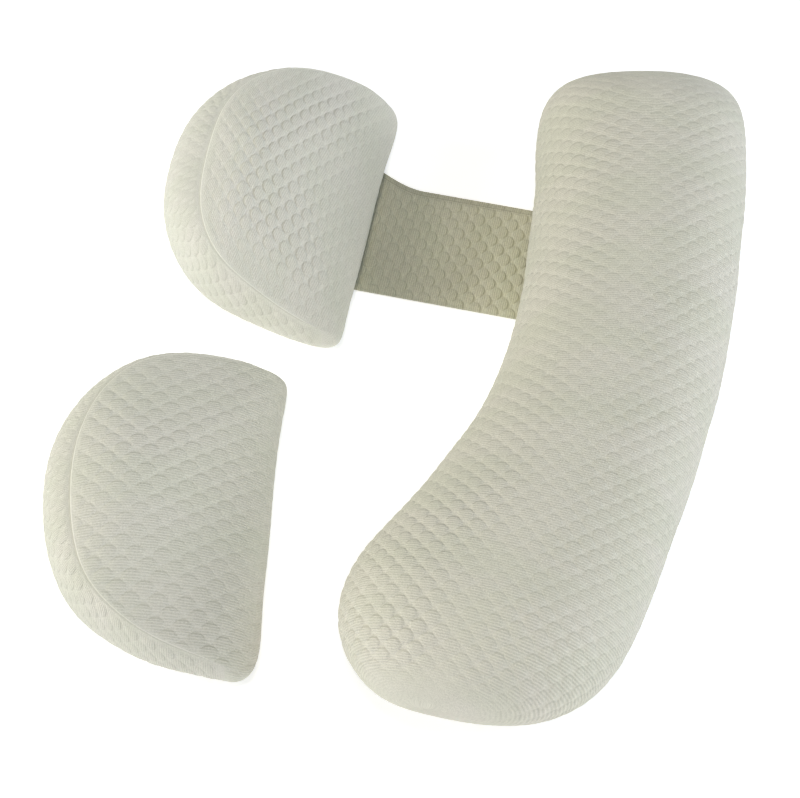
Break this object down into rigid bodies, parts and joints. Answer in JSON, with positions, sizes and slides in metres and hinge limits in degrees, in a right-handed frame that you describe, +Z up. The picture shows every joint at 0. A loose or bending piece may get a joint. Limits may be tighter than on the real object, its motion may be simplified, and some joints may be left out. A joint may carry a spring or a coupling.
{
  "type": "pregnancy pillow set",
  "caption": "Side sleeper's pregnancy pillow: a bent back bolster and a half-round belly wedge joined by a wide strap, with a loose second wedge beside them.",
  "frame": {"origin": "centre of the laid-out set's box, on the surface it lies on", "axes": "+Z up; the bolster's far end points along +Y; the bolster lies on the +X side and the wedges on the -X side"},
  "size_m": [0.6618, 0.7006, 0.15],
  "materials": {
    "back_bolster": "pale sage bubble jacquard knit, matt, with a fine rib",
    "belly_wedge": "pale sage bubble jacquard knit, matt, with a fine rib",
    "loose_wedge": "pale sage bubble jacquard knit, matt, with a fine rib",
    "strap": "two layers of the same knit, matt, bubbles standing out clearly"
  },
  "bodies": {
    "root": {"back_bolster": "back_bolster", "belly_wedge": "belly_wedge", "loose_wedge": "loose_wedge", "strap": "strap"}
  },
  "joints": []
}
